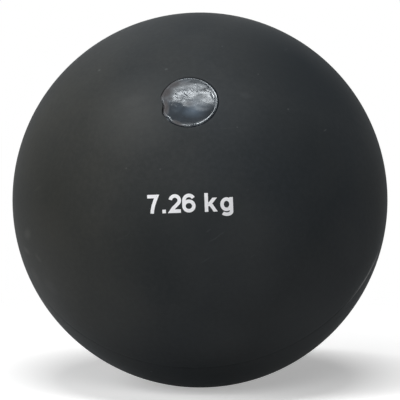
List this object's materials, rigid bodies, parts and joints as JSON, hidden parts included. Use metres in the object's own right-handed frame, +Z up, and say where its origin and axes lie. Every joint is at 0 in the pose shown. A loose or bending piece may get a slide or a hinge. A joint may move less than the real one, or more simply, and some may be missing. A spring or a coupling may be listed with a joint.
{
  "type": "indoor shot",
  "caption": "Soft rubber-cased ball for shot put, filled with metal pellets, with a plugged and sealed filling hole and a small flat where it stands.",
  "frame": {"origin": "middle of the small contact flat that the ball stands on", "axes": "+Z up, -Y towards the side with the filling hole, which points forward and up, +X to the right as seen from that side"},
  "size_m": [0.1348, 0.1349, 0.1345],
  "materials": {
    "casing_rubber": "matte",
    "seal_resin": "gloss",
    "plug_rubber": "matte",
    "lead_pellets": "satin",
    "marking_ink": "matte"
  },
  "bodies": {
    "root": {"casing_front_half": "casing_rubber", "casing_rear_half": "casing_rubber", "plug_seal": "seal_resin", "filler_plug": "plug_rubber", "pellet_filling": "lead_pellets", "pellet_01": "lead_pellets", "pellet_02": "lead_pellets", "pellet_03": "lead_pellets", "pellet_04": "lead_pellets", "pellet_05": "lead_pellets", "pellet_06": "lead_pellets", "pellet_07": "lead_pellets", "pellet_08": "lead_pellets", "pellet_09": "lead_pellets", "pellet_10": "lead_pellets", "pellet_11": "lead_pellets", "pellet_12": "lead_pellets", "pellet_13": "lead_pellets", "pellet_14": "lead_pellets", "pellet_15": "lead_pellets", "pellet_16": "lead_pellets", "pellet_17": "lead_pellets", "pellet_18": "lead_pellets", "pellet_19": "lead_pellets"}
  },
  "joints": []
}
